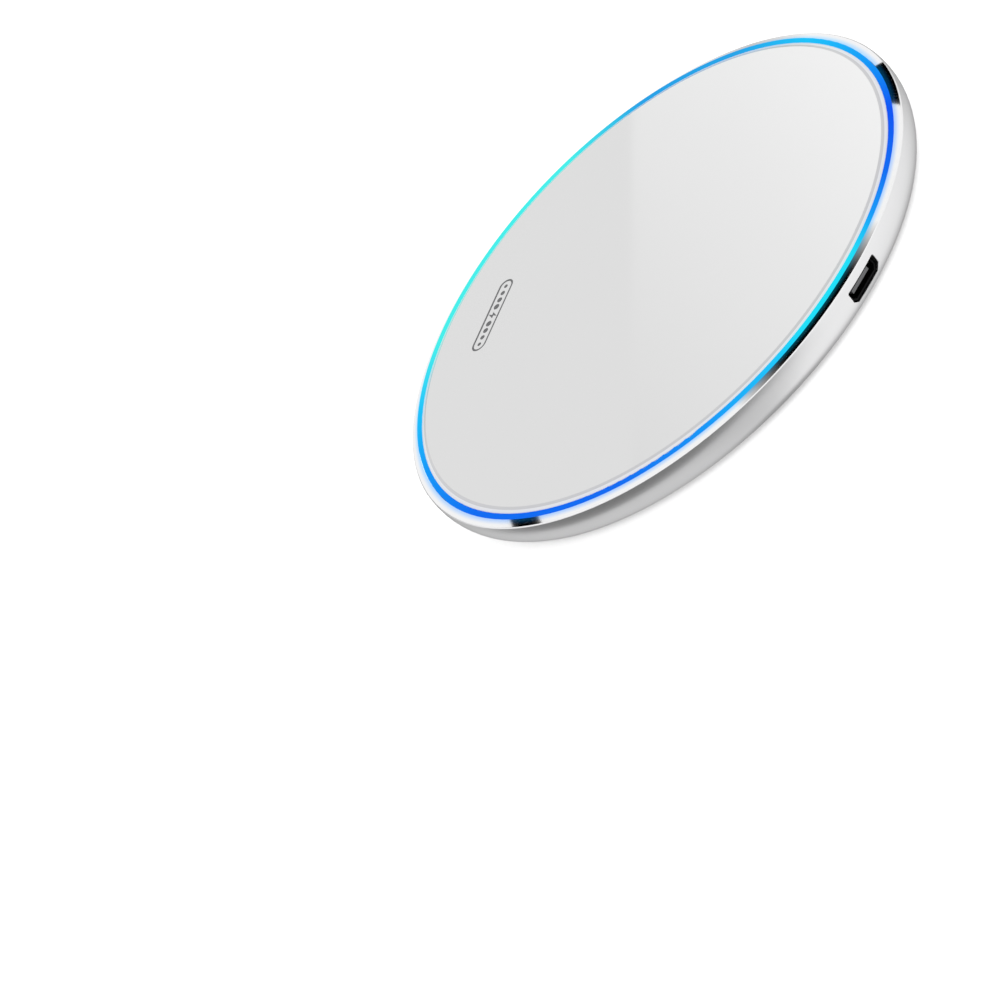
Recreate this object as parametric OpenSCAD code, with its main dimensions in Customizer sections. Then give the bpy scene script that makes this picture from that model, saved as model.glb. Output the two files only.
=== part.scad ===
// Round wireless charging pad: a metal body ring, a bevelled glass top with a light ring round
// it, and the transmitter coil, driver board and socket inside. Millimetres, +Z up, origin on
// the table under the middle of the pad, socket towards -Y.

/* [Body] */
// Radius of the body at its widest
body_radius = 50; // [49:0.5:62]
// Radius of the rounded side wall, seen in section
side_radius = 6.3; // [5.6:0.1:7.5]
// How far the widest point lies below the top of the rim
waist_drop = 1.7; // [1:0.1:2]
// Width of the metal rim outside the light ring
rim_width = 1.65; // [1.3:0.05:2.2]
// How far the polished chamfer starts below the rim's full height
chamfer_drop = 0.1; // [0:0.02:0.2]
// Fall of the polished chamfer per millimetre of its width
chamfer_slope = 0.28; // [0.15:0.01:0.4]
// Width of the small edge break outside the chamfer
edge_break = 0.12; // [0.08:0.01:0.2]
// Thickness of the body wall at its widest
body_wall = 3.6; // [3.2:0.1:4.5]
// Width of the lip round the base cover
base_lip = 2; // [1.6:0.1:2.6]
// Width of the ledge that the base cover and the tray meet
ledge_width = 1.2; // [0.9:0.1:1.6]
// Thickness of that ledge
ledge_thickness = 0.8; // [0.6:0.05:1.1]

/* [Heights] */
// How far the anti-slip ring stands out under the base
foot_proud = 0.6; // [0.4:0.05:1]
// Room between the base cover and the glass
inner_height = 4.95; // [4.1:0.05:6]
// How far the glass stands above the top of the rim
glass_proud = 0.5; // [0.3:0.05:0.8]

/* [Glass] */
// Thickness of the glass
glass_thickness = 1.15; // [0.9:0.05:1.6]
// Width of the ground bevel
bevel_width = 0.5; // [0.3:0.05:1]
// Drop of the ground bevel
bevel_drop = 0.2; // [0.1:0.05:0.6]
// Width of the land outside the bevel
land_width = 0.56; // [0.2:0.02:0.8]
// Drop of the land
land_drop = 0.2; // [0.05:0.05:0.3]
// Thickness of the adhesive under the glass
tape_thickness = 0.15; // [0.1:0.05:0.25]
// Width of the adhesive ring
tape_width = 2.2; // [1.5:0.1:3]
// Length of the printed mark
mark_length = 14.9; // [10:0.1:20]
// Width of the printed mark
mark_width = 3; // [2:0.1:4]
// Distance of the mark from the middle of the pad
mark_radius = 36.6; // [28:0.1:40]
// Bearing of the mark, counted from +X
mark_bearing = 100.1; // [0:0.1:360]
// Depth of the shallow seat that the mark's ink lies in
mark_depth = 0.03; // [0.02:0.01:0.06]

/* [Light ring] */
// Width of the glowing edge
guide_width = 0.9; // [0.8:0.05:1.4]
// Height of the light guide up to the underside of the glass
guide_height = 0.9; // [0.85:0.05:1.35]
// Width of the flange under the glass
guide_flange = 0.8; // [0.6:0.1:1]
// Thickness of that flange
flange_thickness = 0.7; // [0.6:0.05:0.8]
// Thickness of the flexible circuit
flex_thickness = 0.15; // [0.1:0.05:0.25]
// Width of the flexible circuit's tail
flex_tail_width = 4; // [3:0.5:5]
// Bearing of the flexible circuit's tail
flex_tail_bearing = -62; // [-66:1:-58]
// Number of light-emitting diodes
led_count = 8; // [4:1:16]
// Length of a diode
led_length = 1.6; // [1:0.1:2]
// Width of a diode
led_width = 0.8; // [0.5:0.1:1]
// Height of a diode
led_height = 0.4; // [0.3:0.05:0.45]

/* [Coil] */
// Diameter of the insulated coil wire
wire_diameter = 1.1; // [0.9:0.05:1.35]
// Gap between two turns
turn_gap = 0.07; // [0.05:0.01:0.2]
// Inner radius of the coil
coil_inner_radius = 10.25; // [9:0.25:12]
// Number of whole turns
coil_turns = 9; // [6:1:9]
// Gap between the coil and the glass
coil_headroom = 0.22; // [0.15:0.01:0.5]
// Thickness of the bonding film between the coil and the ferrite
coil_film = 0.03; // [0.02:0.01:0.1]
// Thickness of the ferrite plate
ferrite_thickness = 1; // [0.7:0.05:1.1]
// How far the ferrite reaches past the coil
ferrite_margin = 1.3; // [0.8:0.1:2]
// Thickness of the adhesive under the ferrite
ferrite_tape = 0.15; // [0.1:0.05:0.25]
// Half the width of the lead slot in the ferrite
lead_slot = 1.6; // [1.5:0.1:2.2]
// Radius of the thermistor's bead
bead_radius = 0.55; // [0.4:0.05:0.6]
// Diameter of the thermistor's leads
bead_lead = 0.3; // [0.2:0.05:0.4]

/* [Tray] */
// Thickness of the tray's deck
deck_thickness = 0.8; // [0.6:0.05:0.8]
// Thickness of the tray's skirt
skirt_wall = 1.5; // [1.2:0.1:1.6]
// Thickness of the coil pocket's wall
pocket_wall = 1.2; // [1:0.1:1.5]
// Thickness of the coil pocket's floor
pocket_floor = 0.8; // [0.5:0.05:1]
// Diameter of the screw posts
post_diameter = 5; // [4.4:0.1:5.6]

/* [Base] */
// Thickness of the base cover
base_thickness = 1; // [0.9:0.05:1.3]
// Width of the anti-slip ring
foot_width = 7.2; // [6.5:0.1:8.5]
// Depth of the groove that the anti-slip ring lies in
foot_groove = 0.5; // [0.3:0.05:0.6]
// Distance of the anti-slip ring from the edge of the base cover
foot_inset = 3.2; // [2.5:0.1:4]
// Depth of the round panel in the middle of the base
panel_depth = 0.15; // [0.1:0.05:0.3]
// Radius of that panel
panel_radius = 26; // [15:0.5:30]

/* [Screws] */
// Thread diameter
screw_diameter = 2; // [1.8:0.1:2.5]
// Head diameter
screw_head = 3.4; // [3.2:0.1:4.2]
// Head thickness
screw_head_height = 0.7; // [0.5:0.05:0.75]
// Length under the head
screw_length = 3.2; // [2.4:0.1:3.2]
// Pitch of the thread
screw_pitch = 0.5; // [0.4:0.05:0.6]
// Number of screws
screw_count = 4; // [4:1:4]

/* [Board] */
// Thickness of the circuit board
board_thickness = 0.8; // [0.6:0.05:1]
// Height of the board above the base cover
board_lift = 0.2; // [0.15:0.05:0.5]
// Half the angle that the board covers
board_span = 38; // [36:0.5:39]
// Half the width of the board's tab at the socket
tab_half = 5.2; // [4.9:0.1:6.5]
// Diameter of the board's locating pins
pin_diameter = 1.1; // [0.9:0.1:1.3]

/* [Socket] */
// Outer width of the socket's shell
shell_width = 7.6; // [7:0.1:9.2]
// Outer height of the socket's shell
shell_height = 2.4; // [2.2:0.05:2.5]
// Cut of its two lower corners
shell_bevel = 0.8; // [0.5:0.05:1]
// Sheet thickness of the shell
shell_wall = 0.3; // [0.2:0.05:0.4]
// Length of the shell
shell_length = 5.4; // [5:0.1:6.2]
// How far its mouth lies inside the body's side
mouth_recess = 0.9; // [0.6:0.1:1.3]
// Width of the contact tongue
tongue_width = 5; // [3.6:0.1:5.4]
// Thickness of the contact tongue
tongue_thickness = 0.6; // [0.5:0.05:0.7]
// How far the tongue's tip lies inside the shell's mouth
tongue_recess = 0.4; // [0.2:0.1:1]
// Spacing of the contacts
contact_pitch = 0.65; // [0.6:0.05:0.7]

/* [Clearances] */
// Gap between the light guide and the body, and between the glass and the light guide
guide_gap = 0.07; // [0.05:0.01:0.12]
// Gap round the tray and its flange
tray_gap = 0.2; // [0.15:0.05:0.3]
// Gap round the base cover
base_gap = 0.15; // [0.1:0.05:0.25]
// Gap round the ferrite in its pocket
ferrite_gap = 0.3; // [0.2:0.05:0.5]
// Gap between the board and what stands round it
board_gap = 0.6; // [0.4:0.05:0.8]
// Gap round the socket in the body's slot
slot_gap = 0.3; // [0.12:0.02:0.35]
// Gap round a screw and a pin
hole_gap = 0.05; // [0.03:0.01:0.1]
// Gap round a diode in the light guide
led_gap = 0.05; // [0.03:0.01:0.1]

/* [Hidden] */

$fn = 96;
eps = 0.01;

// Heights, from the table up
base_bottom = foot_proud;
base_top = base_bottom + base_thickness;
glass_bottom = base_top + inner_height;
glass_top = glass_bottom + glass_thickness;
rim_top = glass_top - glass_proud;
waist_z = rim_top - waist_drop;
ledge_top = base_top + ledge_thickness;
groove_top = base_bottom + foot_groove;
board_bottom = base_top + board_lift;
board_top = board_bottom + board_thickness;
guide_bottom = glass_bottom - guide_height;
shelf_z = guide_bottom - flex_thickness;
deck_top = glass_bottom - tape_thickness;
deck_bottom = deck_top - deck_thickness;
coil_z = glass_bottom - coil_headroom - wire_diameter / 2;
ferrite_top = coil_z - wire_diameter / 2 - coil_film;
ferrite_bottom = ferrite_top - ferrite_thickness;
floor_top = ferrite_bottom - ferrite_tape;
floor_bottom = floor_top - pocket_floor;

// Radii, from the rim inwards
side_centre = body_radius - side_radius;
function side_r(z) = side_centre + sqrt(pow(side_radius, 2) - pow(z - waist_z, 2));
guide_outer = body_radius - rim_width;
guide_inner = guide_outer - guide_width;
glass_radius = guide_inner - guide_gap;
glass_flat = glass_radius - land_width - bevel_width;
body_inner = body_radius - body_wall;
tray_radius = body_inner - tray_gap;
skirt_inner = tray_radius - skirt_wall;
bottom_radius = side_r(base_bottom);
base_seat = bottom_radius - base_lip;
base_radius = base_seat - base_gap;
ledge_inner = min(base_seat, body_inner) - ledge_width;
foot_outer = base_radius - foot_inset;
foot_inner = foot_outer - foot_width;
screw_ring = (foot_outer + foot_inner) / 2;
tape_outer = tray_radius - tray_gap;
tape_inner = tape_outer - tape_width;

// Coil, ferrite and pocket
wire_radius = wire_diameter / 2;
turn_pitch = wire_diameter + turn_gap;
coil_start_r = coil_inner_radius + wire_radius;
coil_outer_radius = coil_start_r + coil_turns * turn_pitch + wire_radius;
ferrite_radius = coil_outer_radius + ferrite_margin;
pocket_radius = ferrite_radius + ferrite_gap;
pocket_outer = pocket_radius + pocket_wall;
slot_end = coil_inner_radius - 3 * wire_diameter;

// Board and socket
board_inner = pocket_outer + board_gap;
board_outer = ledge_inner - board_gap;
board_middle = (board_inner + board_outer) / 2;
port_z = board_top + shell_height / 2;
slot_top = port_z + shell_height / 2 + slot_gap;
mouth_y = -(side_r(port_z) - mouth_recess);
shell_back = mouth_y + shell_length;
tab_end = -(body_inner + tray_gap);
tab_pocket = tab_end - hole_gap - tray_gap;
pin_ring = board_inner + 1.8;
pin_angle = board_span - 7;

// Outline of the socket, wide side up, grown evenly by a gap
corner_growth = 2 - sqrt(2);
corner_nick = 0.2;
function port_outline(gap, wall = 0) =
    let (w = shell_width / 2 + gap - wall, h = shell_height / 2 + gap - wall,
        b = shell_bevel + corner_growth * (gap - wall))
    [[-w + corner_nick, h], [w - corner_nick, h], [w, h - corner_nick], [w, b - h],
        [w - b, -h], [b - w, -h], [-w, b - h], [-w, h - corner_nick]];

// A box between two corners
module block(low, high) {
    translate(low) cube(high - low);
}

// A flat ring between two radii and two heights
module flat_ring(inner, outer, low, high) {
    rotate_extrude() translate([inner, low]) square([outer - inner, high - low]);
}

// Part of a flat ring, centred on the socket's side
module sector(inner, outer, low, high, half_angle) {
    rotate_extrude(angle = 2 * half_angle, start = -90 - half_angle)
        translate([inner, low]) square([outer - inner, high - low]);
}

// Repeats its children round the pad
module ring_of(count, first = 0) {
    for (i = [0:count - 1]) rotate([0, 0, first + 360 * i / count]) children();
}

// The socket's outline as a bar along Y
module port_bar(points, front, back) {
    translate([0, back, port_z]) rotate([90, 0, 0]) linear_extrude(back - front) polygon(points);
}

// A round wire swept along a path
function unit(v) = v / norm(v);
function heading(path, i) =
    unit(path[min(i + 1, len(path) - 1)] - path[max(i - 1, 0)]);
function wire_ring(path, i, radius, sides) =
    let (t = heading(path, i), s = unit(cross(t, [0, 0, 1])), u = cross(s, t))
    [for (k = [0:sides - 1])
        path[i] + radius * (cos(360 * k / sides) * s + sin(360 * k / sides) * u)];
module wire(path, radius, sides = 8) {
    rings = len(path);
    points = [for (i = [0:rings - 1]) each wire_ring(path, i, radius, sides)];
    walls = [for (i = [0:rings - 2], k = [0:sides - 1]) let (n = (k + 1) % sides)
        [i * sides + k, i * sides + n, (i + 1) * sides + n, (i + 1) * sides + k]];
    first_cap = [for (k = [0:sides - 1]) sides - 1 - k];
    last_cap = [for (k = [0:sides - 1]) (rings - 1) * sides + k];
    polyhedron(points, concat(walls, [first_cap], [last_cap]), convexity = 10);
}

// Body ring: rounded side wall, polished chamfer, ledge, light-ring shelf and socket slot
chamfer_start = guide_outer + guide_gap;
chamfer_top = rim_top - chamfer_drop;
chamfer_end = body_radius - 2 * edge_break;
chamfer_low = chamfer_top - chamfer_slope * (chamfer_end - chamfer_start);
bottom_break = 0.25;
bottom_slope = 0.45;
outside = body_radius + 2 * bottom_break;
module body_section() {
    intersection() {
        translate([side_centre, waist_z]) circle(r = side_radius);
        polygon([
            [base_seat, base_bottom],
            [bottom_radius - bottom_break, base_bottom],
            [outside, base_bottom + bottom_slope * (outside - bottom_radius + bottom_break)],
            [outside, chamfer_low - (outside - chamfer_end)],
            [chamfer_end, chamfer_low],
            [chamfer_start, chamfer_top],
            [chamfer_start, shelf_z],
            [body_inner, shelf_z],
            [body_inner, ledge_top],
            [ledge_inner, ledge_top],
            [ledge_inner, base_top],
            [base_seat, base_top]
        ]);
    }
}
module body_frame() {
    color("silver") difference() {
        rotate_extrude($fn = 180) body_section();
        port_bar(port_outline(slot_gap), -outside, tab_pocket + eps);
        block([-tab_half - tray_gap, tab_pocket, base_top], [tab_half + tray_gap, -skirt_inner / 2,
            shelf_z + eps]);
    }
}

// Room for the socket, cut from whatever reaches down to it
module socket_room() {
    port_bar(port_outline(slot_gap), -outside, shell_back + slot_gap);
}

// Glass: flat top, ground bevel, narrow land, and the mark's shallow seat
module cover_glass() {
    land_top = glass_top - bevel_drop;
    seat = glass_top - mark_depth;
    half = (mark_length - mark_width) / 2;
    color("white") difference() {
        rotate_extrude($fn = 180) polygon([[0, glass_bottom], [glass_radius, glass_bottom],
            [glass_radius, land_top - land_drop], [glass_radius - land_width, land_top],
            [glass_flat, glass_top], [0, glass_top]]);
        rotate([0, 0, mark_bearing]) translate([mark_radius, 0, 0]) {
            block([-mark_width / 2, -half, seat], [mark_width / 2, half, glass_top + eps]);
            for (end = [-half, half]) translate([0, end, seat])
                cylinder(d = mark_width, h = mark_depth + eps);
        }
    }
}

// Two adhesive rings that hold the glass on the tray
lead_gate = 3.2;
module glass_adhesive() {
    color("gray") {
        flat_ring(tape_inner, tape_outer, deck_top, glass_bottom);
        difference() {
            flat_ring(pocket_radius + tape_thickness, pocket_outer, deck_top, glass_bottom);
            block([-lead_gate, -board_inner - 1, deck_top - eps], [lead_gate, -pocket_radius / 2,
                glass_bottom + eps]);
        }
    }
}

// Diode places, shared by the diodes and their notches in the light guide
led_ring = guide_inner + 0.1;
led_first = 180 / led_count;
module led_boxes(gap) {
    ring_of(led_count, led_first)
        block([led_ring - led_width / 2 - gap, -led_length / 2 - gap, guide_bottom - gap],
            [led_ring + led_width / 2 + gap, led_length / 2 + gap, guide_bottom + led_height + gap]);
}

// Light guide: a glowing bead with a round top, on a flange under the glass
bead_base = rim_top - chamfer_drop / 2;
module light_guide() {
    color("deepskyblue") difference() {
        rotate_extrude($fn = 180) union() {
            translate([guide_inner - guide_flange, guide_bottom])
                square([guide_flange + guide_width, flange_thickness]);
            translate([guide_inner, guide_bottom])
                square([guide_width, bead_base - guide_bottom]);
            translate([guide_outer - guide_width / 2, bead_base]) circle(d = guide_width);
        }
        led_boxes(led_gap);
        socket_room();
    }
}

// Flexible circuit under the light guide, with a tail that folds down to the board
tail_root = board_outer - 2.2;
tail_foot = 1.5;
module led_flex() {
    color("orange") {
        difference() {
            flat_ring(guide_inner - guide_flange, guide_outer - led_gap, shelf_z, guide_bottom);
            socket_room();
        }
        rotate([0, 0, flex_tail_bearing]) {
            block([tail_root, -flex_tail_width / 2, shelf_z],
                [guide_inner - guide_flange + flex_thickness, flex_tail_width / 2, guide_bottom]);
            block([tail_root, -flex_tail_width / 2, board_top],
                [tail_root + flex_thickness, flex_tail_width / 2, guide_bottom]);
            block([tail_root, -flex_tail_width / 2, board_top],
                [tail_root + tail_foot, flex_tail_width / 2, board_top + flex_thickness]);
        }
    }
}

// Diodes that shine up into the light guide
module leds() {
    color("lightyellow") led_boxes(0);
}

// Tray: deck under the glass, skirt on the body's ledge, coil pocket and screw posts
window_margin = 0.8;
skirt_lift = 0.05;
post_gap = 0.1;
thread_room = 0.15;
boss_top = base_top + 0.8;
head_seat = groove_top + screw_head_height + hole_gap;
screw_tip = head_seat + screw_length;
module coil_tray() {
    color("whitesmoke") difference() {
        union() {
            flat_ring(pocket_radius, tray_radius, deck_bottom, deck_top);
            flat_ring(skirt_inner, tray_radius, ledge_top + skirt_lift, deck_bottom + eps);
            flat_ring(pocket_radius, pocket_outer, floor_bottom, deck_top);
            translate([0, 0, floor_bottom]) cylinder(r = pocket_radius + eps, h = pocket_floor);
            ring_of(screw_count, 45) translate([screw_ring, 0, boss_top + post_gap])
                cylinder(d = post_diameter, h = deck_bottom + eps - boss_top - post_gap);
        }
        ring_of(screw_count, 45) translate([screw_ring, 0, boss_top])
            cylinder(d = screw_diameter + 2 * hole_gap, h = screw_tip + thread_room - boss_top);
        sector(board_inner + window_margin, board_outer - window_margin, deck_bottom - eps,
            deck_top + eps, board_span - 4);
        block([-lead_gate, -board_inner - window_margin - eps, floor_top],
            [lead_gate, -pocket_radius + 2, deck_top + eps]);
        block([-tab_half - tray_gap, -body_radius, ledge_top - eps],
            [tab_half + tray_gap, -skirt_inner + 2, max(deck_bottom, slot_top)]);
        rotate([0, 0, flex_tail_bearing]) block([tail_root - tray_gap, -flex_tail_width / 2 - tray_gap,
            shelf_z - tray_gap], [body_radius, flex_tail_width / 2 + tray_gap,
            max(deck_bottom, guide_bottom + tray_gap)]);
    }
}

// Radial slot for the leads, shared by the ferrite and its adhesive
module slotted_disc(low, high) {
    difference() {
        translate([0, 0, low]) cylinder(r = ferrite_radius, h = high - low);
        block([-lead_slot, -body_radius, low - eps], [lead_slot, -slot_end, high + eps]);
    }
}
module ferrite_adhesive() {
    color("gainsboro") slotted_disc(floor_top, ferrite_bottom);
}
module ferrite_plate() {
    color("dimgray") slotted_disc(ferrite_bottom, ferrite_top);
}

// Coil wire: pad, slot under the turns, up to the middle, out along the spiral, down to its pad
coil_steps = 24;
spiral_start = -60;
spiral_end = -105;
pad_y = -board_inner - 2;
pad_z = board_top + wire_radius;
slot_z = floor_top + wire_radius;
inner_lead_x = -lead_slot + wire_radius + hole_gap;
outer_lead_x = 2.2;
rise_y = -(coil_inner_radius - wire_radius - 0.2);
inner_lead = [[inner_lead_x, pad_y, pad_z], [inner_lead_x, pad_y + 0.6, pad_z + 0.04],
    [inner_lead_x, -pocket_outer - 1.3, pad_z + 0.4],
    [inner_lead_x, -pocket_outer - 0.8, slot_z - 0.4], [inner_lead_x, -pocket_outer - 0.1, slot_z],
    [inner_lead_x, -ferrite_radius, slot_z], [inner_lead_x, rise_y - 1.1, slot_z],
    [inner_lead_x, rise_y - 0.6, slot_z + 0.12],
    [inner_lead_x + 0.15, rise_y - 0.1, slot_z + 0.45],
    [inner_lead_x + 0.8, rise_y + 0.1, coil_z - 0.4], [inner_lead_x + 1.9, rise_y + 0.05, coil_z]];
spiral_angle = 360 * (coil_turns - 1) + 360 + spiral_end - spiral_start;
spiral_steps = floor(coil_steps * spiral_angle / 360);
spiral = [for (i = [0:spiral_steps]) let (a = spiral_angle * i / spiral_steps,
        r = coil_start_r + turn_pitch * a / 360)
    [r * cos(spiral_start + a), r * sin(spiral_start + a), coil_z]];
coil_end_r = coil_start_r + turn_pitch * spiral_angle / 360;
outer_lead = [[outer_lead_x - 4.2, -coil_end_r - 1, coil_z],
    [outer_lead_x - 1.6, -ferrite_radius - wire_radius - 0.05, coil_z - 0.1],
    [outer_lead_x - 0.4, -pocket_radius - wire_radius - 0.25, coil_z - 0.65],
    [outer_lead_x - 0.1, -pocket_outer - wire_radius, (pad_z + coil_z) / 2],
    [outer_lead_x, pad_y + 1, pad_z + 0.1], [outer_lead_x, pad_y, pad_z]];
module coil_winding() {
    color("peru") wire(concat(inner_lead, spiral, outer_lead), wire_radius);
}

// Thermistor: a bead on the ferrite at the middle of the coil, with two thin leads
bead_z = ferrite_top + bead_radius;
bead_lead_low = floor_top + bead_lead;
lead_pair_x = 0.75;
lead_pair_gap = 0.4;
module thermistor() {
    color("black") {
        translate([0, 0, bead_z]) sphere(r = bead_radius, $fn = 48);
        for (side = [-1, 1]) let (x = lead_pair_x + side * lead_pair_gap)
            wire([[side * bead_lead * 0.6, -bead_radius / 2, bead_z],
            [side * bead_lead * 0.6 + x / 3, -2, ferrite_top + bead_lead],
            [x, -slot_end, ferrite_top + bead_lead], [x, -slot_end - 0.5, ferrite_top],
            [x, -slot_end - 1, bead_lead_low + 0.2], [x, -slot_end - 1.5, bead_lead_low],
            [x, -pocket_outer - bead_lead, bead_lead_low],
            [x, -pocket_outer - 4 * bead_lead, bead_lead_low - 2 * bead_lead],
            [x, pad_y + 0.9, board_top + bead_lead], [x, pad_y, board_top + bead_lead / 2]],
            bead_lead / 2, 6);
    }
}

// Board: part of a ring with a tab under the socket and two locating holes
module at_pins() {
    for (side = [-1, 1]) rotate([0, 0, -90 + side * pin_angle]) translate([pin_ring, 0, 0])
        children();
}
module circuit_board() {
    color("darkgreen") difference() {
        union() {
            sector(board_inner, board_outer, board_bottom, board_top, board_span);
            block([-tab_half, tab_end, board_bottom], [tab_half, -board_outer + 1, board_top]);
        }
        at_pins() translate([0, 0, board_bottom - eps])
            cylinder(d = pin_diameter + 2 * hole_gap, h = board_thickness + 2 * eps);
    }
}

// A chip component standing on the board: a body between two end caps
cap_share = 0.22;
cap_skin = 0.04;
module chip_component(place, size, turn = 0) {
    translate([place.x, place.y, board_top]) rotate([0, 0, turn]) {
        block([-size.x / 2 + cap_skin, -size.y / 2 + cap_skin, 0],
            [size.x / 2 - cap_skin, size.y / 2 - cap_skin, size.z - cap_skin]);
        for (side = [-1, 1]) translate([side * size.x * (1 - cap_share) / 2, 0, size.z / 2])
            cube([size.x * cap_share, size.y, size.z], center = true);
    }
}

// A square package with pads along two or four of its sides
module package(place, size, pads, pitch, sides) {
    pad_out = 0.15;
    pad_high = 0.2;
    translate([place.x, place.y, board_top]) {
        difference() {
            translate([0, 0, size.z / 2]) cube(size, center = true);
            translate([-size.x / 2 + 0.7, size.y / 2 - 0.7, size.z - 0.05]) cylinder(d = 0.5, h = 1);
        }
        for (s = [0:sides - 1]) rotate([0, 0, s * 360 / sides]) for (i = [0:pads - 1])
            translate([size.x / 2, (i - (pads - 1) / 2) * pitch, pad_high / 2])
                cube([2 * pad_out, pitch / 2, pad_high], center = true);
    }
}

// Electronics, placed from the middle of the board
module controller_chip() {
    color("black") package([-9, -board_middle], [5, 5, 0.85], 7, 0.6, 4);
}
module power_transistors() {
    color("black") for (i = [0:1], j = [0:1])
        package([9 + 4.6 * i, -board_middle - 2.9 + 4.6 * j], [3.3, 3.3, 0.8], 4, 0.65, 2);
}
module resonant_capacitors() {
    color("tan") for (i = [0:2])
        chip_component([5.2 + 3.1 * i, -board_inner - 3.4 + 0.35 * i], [3.2, 2.5, 2], 90);
}
module input_capacitors() {
    color("tan") for (side = [-1, 1])
        chip_component([1.6 * side, shell_back + 3.2], [3.2, 1.6, 1.6], 90);
}
module power_inductor() {
    color("dimgray") translate([-16.2, -board_middle + 1.6, board_top]) rotate([0, 0, -25]) {
        block([-2.4, -2.4, 0], [2.4, 2.4, 0.5]);
        cylinder(d = 4.4, h = 1.7);
        translate([0, 0, 1.6]) intersection() {
            block([-2.4, -2.4, 0], [2.4, 2.4, 0.4]);
            cylinder(d = 5.8, h = 0.4);
        }
    }
}
module crystal() {
    color("silver") translate([-8.6, -board_outer + 3.6, board_top]) {
        block([-1.6, -1.25, 0], [1.6, 1.25, 0.45]);
        block([-1.4, -1.05, 0.45], [1.4, 1.05, 0.7]);
    }
}
module small_components() {
    color("saddlebrown") {
        for (i = [0:4]) chip_component([-13.2 + 2.1 * i, -board_inner - 3.2 + 0.1 * i],
            [1.6, 0.8, 0.5], 90);
        for (i = [0:3]) chip_component([-4.2, -board_middle - 3 + 1.7 * i], [1.6, 0.8, 0.5]);
        for (i = [0:3]) chip_component([4.3, -board_middle - 3 + 1.7 * i], [1.6, 0.8, 0.5]);
        for (i = [0:2]) chip_component([-14.6 + 0.5 * i, -board_outer + 6.3 - 1.6 * i],
            [1.6, 0.8, 0.5], 30);
        for (i = [0:2]) chip_component([17.6 - 0.5 * i, -board_outer + 10.3 - 1.6 * i],
            [1.6, 0.8, 0.5], -30);
    }
}

// Socket shell: folded sheet round the outline, closed at the back
module port_shell() {
    color("silver") difference() {
        port_bar(port_outline(0), mouth_y, shell_back);
        port_bar(port_outline(0, shell_wall), mouth_y - eps, shell_back - shell_wall);
    }
}

// Insulator block at the back of the shell, with the contact tongue
insulator_length = 1.6;
tongue_z = port_z + 0.1;
module port_tongue() {
    back = shell_back - shell_wall;
    color("gray") {
        port_bar(port_outline(-hole_gap, shell_wall), back - insulator_length, back);
        block([-tongue_width / 2, mouth_y + tongue_recess, tongue_z - tongue_thickness / 2],
            [tongue_width / 2, back - insulator_length + eps, tongue_z + tongue_thickness / 2]);
    }
}

// Five contacts under the tongue
contact_width = 0.3;
contact_sheet = 0.1;
contact_tip = 0.3;
module port_contacts() {
    low = tongue_z - tongue_thickness / 2 - contact_sheet;
    color("gold") for (i = [-2:2]) block([i * contact_pitch - contact_width / 2,
        mouth_y + tongue_recess + contact_tip, low], [i * contact_pitch + contact_width / 2,
        shell_back - shell_wall - insulator_length, low + contact_sheet]);
}

// Base cover: plate with the anti-slip groove, screw bosses, support ring and board pins
base_edge = 0.2;
boss_diameter = 5.6;
support_radius = 10;
support_wall = 1.2;
pin_pad = 2.6;
stake_height = 0.3;
module base_cover() {
    color("whitesmoke") difference() {
        union() {
            rotate_extrude($fn = 180) polygon([[0, base_bottom], [base_radius - base_edge,
                base_bottom], [base_radius, base_bottom + base_edge], [base_radius, base_top],
                [0, base_top]]);
            ring_of(screw_count, 45) translate([screw_ring, 0, base_top - eps])
                cylinder(d = boss_diameter, h = boss_top - base_top + eps);
            flat_ring(support_radius, support_radius + support_wall, base_top - eps,
                floor_bottom - post_gap);
            at_pins() translate([0, 0, base_top - eps]) {
                cylinder(d = pin_pad, h = board_lift + eps);
                cylinder(d = pin_diameter, h = board_top - base_top + stake_height);
            }
            at_pins() translate([0, 0, board_top])
                cylinder(d1 = pin_pad - base_edge, d2 = pin_diameter, h = stake_height);
        }
        flat_ring(foot_inner - base_gap, foot_outer + base_gap, base_bottom - eps, groove_top);
        translate([0, 0, base_bottom - eps]) cylinder(r = panel_radius, h = panel_depth + eps);
        ring_of(screw_count, 45) translate([screw_ring, 0, 0]) {
            translate([0, 0, base_bottom]) cylinder(d = screw_head + 2 * hole_gap,
                h = head_seat - base_bottom);
            cylinder(d = screw_diameter + 4 * hole_gap, h = boss_top + eps);
        }
    }
}

// Screws: flat head with a cross recess and a pointed thread
cross_depth = 0.35;
cross_width = 0.35;
cross_length = 1.8;
thread_depth = 0.2;
module base_screw() {
    threads = floor((screw_length - screw_pitch) / screw_pitch);
    crest = screw_diameter / 2;
    root = crest - thread_depth;
    thread = [for (i = [0:threads - 1]) each [[root, screw_pitch * (i + 0.5)],
        [crest, screw_pitch * (i + 0.9)], [root, screw_pitch * (i + 1.3)]]];
    difference() {
        translate([0, 0, head_seat]) rotate_extrude($fn = 48) polygon(concat([[0,
            -screw_head_height], [screw_head / 2 - 0.15, -screw_head_height], [screw_head / 2,
            0.15 - screw_head_height], [screw_head / 2, 0], [root, 0]], thread,
            [[0, screw_length]]));
        for (turn = [0, 90]) rotate([0, 0, turn]) translate([-cross_length / 2, -cross_width / 2,
            head_seat - screw_head_height - eps]) cube([cross_length, cross_width,
            cross_depth + eps]);
    }
}
module base_screws() {
    color("silver") ring_of(screw_count, 45) translate([screw_ring, 0, 0]) base_screw();
}

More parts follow.
